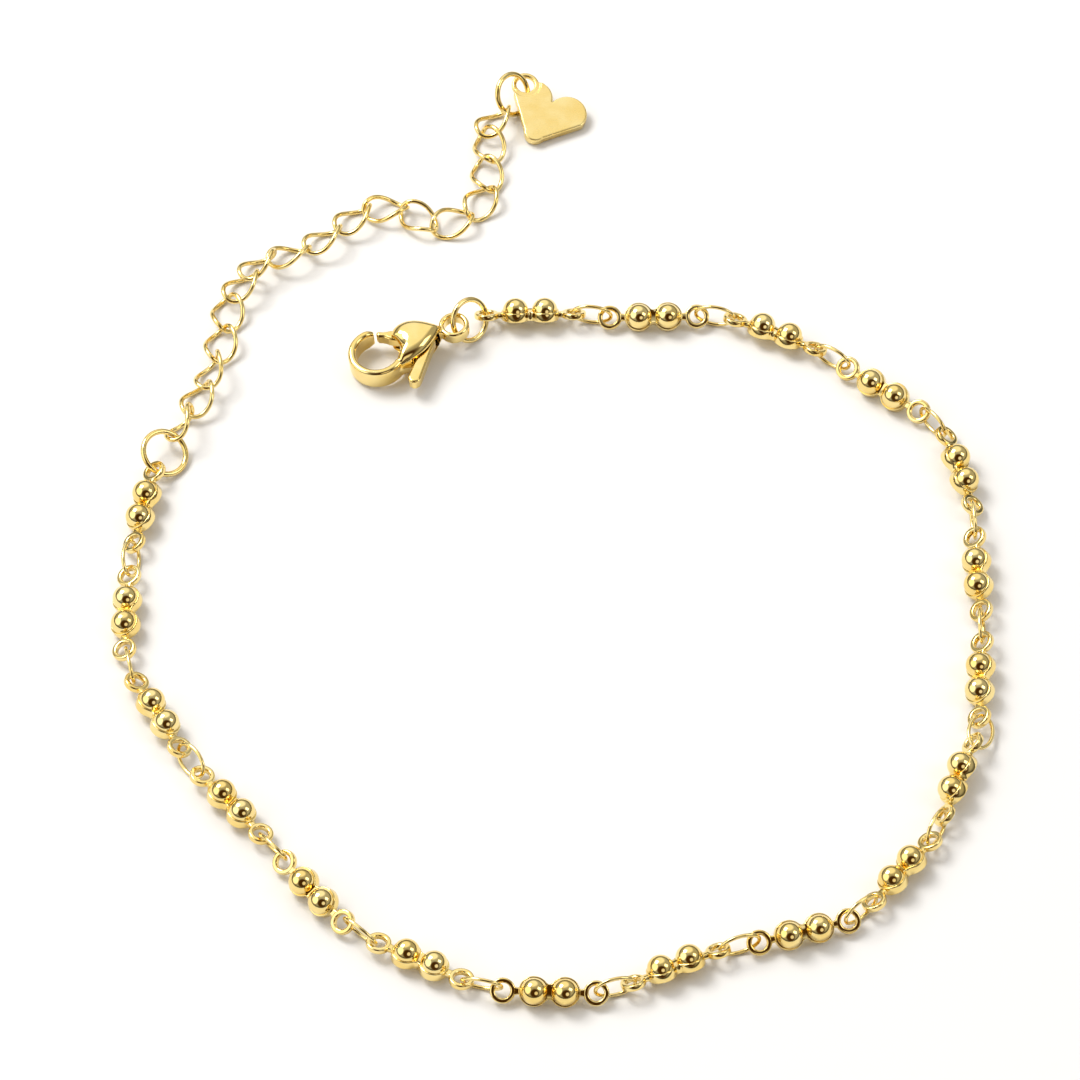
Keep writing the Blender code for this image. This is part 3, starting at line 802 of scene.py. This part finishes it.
heart = {
    "lobeRadius": 1.85, "lobeOffset": 1.80, "lobeRise": 1.45, "lobeSteps": 33,
    "tipRadius": 1.05, "tipDrop": 3.20, "tipStart": -84, "tipSteps": 9,
    "notchGap": 3,  # degrees that each lobe ends before the middle line
    "notchWide": 172.0,  # degrees where a lobe ends that doesn't reach the middle line
    "thickness": 0.90, "edge": 0.16, "edgeInset": 0.6,
    "eyelet": (-3.10, 2.45), "eyeletRadius": 1.30, "eyeletHole": 0.85, "eyeletLow": 0.12, "eyeletHigh": 0.66,
    "eyeletEdge": 0.16, "eyeletEdgeSteps": 6, "eyeletSides": 48,
    "recessMargin": 0.14, "recessRise": 0.05, "holePlay": 0.02, "cutterReach": 1,
    "heading": -26.0, "tilt": 11.0, "markedPoint": (0.3, -0.4), "voxel": 0.055, "passes": 5,
}


def heartOutline(inset):
    v = heart
    lobe, tip = v["lobeRadius"] - inset, v["tipRadius"] - inset
    offset, rise, drop = v["lobeOffset"], v["lobeRise"], v["tipDrop"]
    apart = math.hypot(offset, drop)
    lean = math.degrees(math.atan2(drop, offset))
    tangent = lean - math.degrees(math.acos((lobe - tip) / apart))
    notch = math.degrees(math.acos(-offset / lobe)) if lobe > offset else v["notchWide"]
    tipArc = arc(0, 0, tip, v["tipStart"], tangent, v["tipSteps"])
    lobeArc = arc(0, 0, lobe, tangent, notch - v["notchGap"], v["lobeSteps"])
    right = [(x, y + rise - drop) for x, y in tipArc] + [(x + offset, y + rise) for x, y in lobeArc]
    return right + [(-x, y) for x, y in reversed(right)]


def heartPlate():
    v = heart
    levels = softEdge(v["edge"])
    levels += [(v["thickness"] - z, inset) for z, inset in reversed(levels)]
    return shell([[(x, y, z) for x, y in heartOutline(inset * v["edgeInset"])] for z, inset in levels])


def heartMesh():
    v = heart
    sides, above = v["eyeletSides"], v["thickness"] + v["cutterReach"]
    recessCircle = circleOf(*v["eyelet"], v["eyeletRadius"] + v["recessMargin"], sides)
    recess = slab(recessCircle, v["eyeletHigh"] + v["recessRise"], above)
    hole = slab(circleOf(*v["eyelet"], v["eyeletHole"] + v["holePlay"], sides), -v["cutterReach"], above)
    section = rounded(
        v["eyeletHole"], v["eyeletRadius"], v["eyeletLow"], v["eyeletHigh"],
        v["eyeletEdge"], v["eyeletEdgeSteps"],
    )
    rim = turned(section, *v["eyelet"], sides)
    return cutAndFuse(
        "heartTag", together([heartPlate()], "plate"), [together([recess], "disc"), together([hole], "disc")],
        [together([rim], "rim")], v["voxel"], v["passes"],
    )


def heartPlace():
    v = heart
    raised = Vector((*v["eyelet"], 0)).cross(Vector((0, 0, 1)))
    turn = turnOf(v["heading"], v["tilt"], raised)
    marked = Vector(record["mounts"][0]["pos_m"]) / mm
    return Matrix.Translation(marked - turn @ Vector((*v["markedPoint"], v["thickness"]))) @ turn


tagMesh = heartMesh()
tagMesh.transform(heartPlace())
finishPiece("heartTag", tagMesh, heartGold, "anklet", ["heart_tag"])


# table, light and camera

table = {
    "half": 3, "drop": 0.00001,  # metres
    "tone": 0.90, "shade": (0.985, 0.985, 0.98), "cloudScale": 14.0, "roughness": 0.7,
}
tent = {
    # direction, cosines where it starts and is full, brightness
    "leftPanel": ((-0.80, -0.16, 0.57), 0.84, 0.92, 1.15),
    "backPanel": ((-0.10, 0.62, 0.78), 0.78, 0.93, 0.70),
    "sparkle": ((0.34, -0.72, 0.60), 0.955, 0.985, 0.9),
    "around": 0.46, "tint": (1.0, 0.98, 0.95),
    "opening": ((0.12, -0.74, 0.66), 0.72, 0.88), "openingColour": (0.062, 0.026, 0.003),
    "horizonTop": 0.36, "horizonDepth": 0.34, "horizonDark": 0.88,
}
softboxes = {
    # place, size, power, colour
    "keySoftbox": ((-0.35, 0.28, 0.55), (0.30, 0.30), 3.2, (1.0, 0.98, 0.95)),
    "fillSoftbox": ((0.45, -0.05, 0.45), (0.22, 0.30), 0.5, (1.0, 0.99, 0.98)),
}
photoCamera = {
    "distance": 0.600, "elevation": 54.0, "target": (-0.0011674, -0.0015698, 0.0),
    "lens": 222.0, "sensor": 36, "clip": (0.05, 20),
}


def makeFloor():
    half, tone = table["half"], table["tone"]
    mesh = bpy.data.meshes.new("table")
    corners = [(-half, -half, 0), (half, -half, 0), (half, half, 0), (-half, half, 0)]
    mesh.from_pydata(corners, [], [(0, 1, 2, 3)])
    floor = helperObject("table", mesh)
    floor.location.z = cadBox[0][2] - table["drop"]
    material = bpy.data.materials.new("paleTable")
    material.use_nodes = True
    tree = Tree(material.node_tree)
    shader = material.node_tree.nodes["Principled BSDF"]
    place = tree.out(tree.node("ShaderNodeTexCoord"), "Object")
    noise = tree.node("ShaderNodeTexNoise", {}, {
        "Vector": place, "Scale": table["cloudScale"], "Detail": 2.0,
    })
    shaded = tuple(tone * part for part in table["shade"])
    colour = tree.mixColor(tree.out(noise, "Fac"), (tone, tone, tone, 1), (*shaded, 1))
    tree.feed(shader.inputs["Base Color"], colour)
    shader.inputs["Roughness"].default_value = table["roughness"]
    mesh.materials.append(material)


def makeLamps():
    for name, (place, size, power, colour) in softboxes.items():
        light = bpy.data.lights.new(name, "AREA")
        light.shape = "RECTANGLE"
        light.size, light.size_y = size
        light.energy = power
        light.color = colour
        lamp = helperObject(name, light)
        lamp.location = place
        lamp.rotation_euler = (-Vector(place)).to_track_quat("-Z", "Y").to_euler()


def makeWorld():
    # light tent: bright panels on the left and at the back, a brown opening in front with a sparkle in it
    world = bpy.data.worlds.new("lightTent")
    bpy.context.scene.world = world
    world.use_nodes = True
    tree = Tree(world.node_tree)
    background = world.node_tree.nodes["Background"]
    way = tree.out(tree.node("ShaderNodeTexCoord"), "Generated")
    parts = tree.node("ShaderNodeSeparateXYZ", {}, {0: way})
    x, y, z = (tree.out(parts, key) for key in ("X", "Y", "Z"))

    def towards(direction, low, high, brightness=None):
        a, b, c = Vector(direction).normalized()
        patch = (x * a + y * b + z * c).smooth(low, high)
        return patch if brightness is None else patch * brightness

    opening = towards(*tent["opening"])
    horizon = (z * -1.0 + tent["horizonTop"]).smooth(0.0, tent["horizonDepth"])
    level = towards(*tent["leftPanel"]) + towards(*tent["backPanel"]) + tent["around"]
    level = level * (1 - horizon * tent["horizonDark"]) * (1 - opening) + towards(*tent["sparkle"])
    channels = {
        key: level * tint + opening * dark
        for key, tint, dark in zip("XYZ", tent["tint"], tent["openingColour"])
    }
    colour = tree.node("ShaderNodeCombineXYZ", {}, channels)
    tree.feed(background.inputs["Color"], tree.out(colour))


def makeCamera():
    data = bpy.data.cameras.new("photoCamera")
    data.lens = photoCamera["lens"]
    data.sensor_width = photoCamera["sensor"]
    data.clip_start, data.clip_end = photoCamera["clip"]
    camera = helperObject("photoCamera", data)
    angle = math.radians(photoCamera["elevation"])
    back = Vector((0, -math.cos(angle), math.sin(angle)))
    camera.location = Vector(photoCamera["target"]) + back * photoCamera["distance"]
    camera.rotation_euler = (math.radians(90) - angle, 0, 0)
    bpy.context.scene.camera = camera


makeCamera()
makeFloor()
makeWorld()
makeLamps()
bpy.context.scene.view_settings.view_transform = "Standard"
print("table, light and camera set")
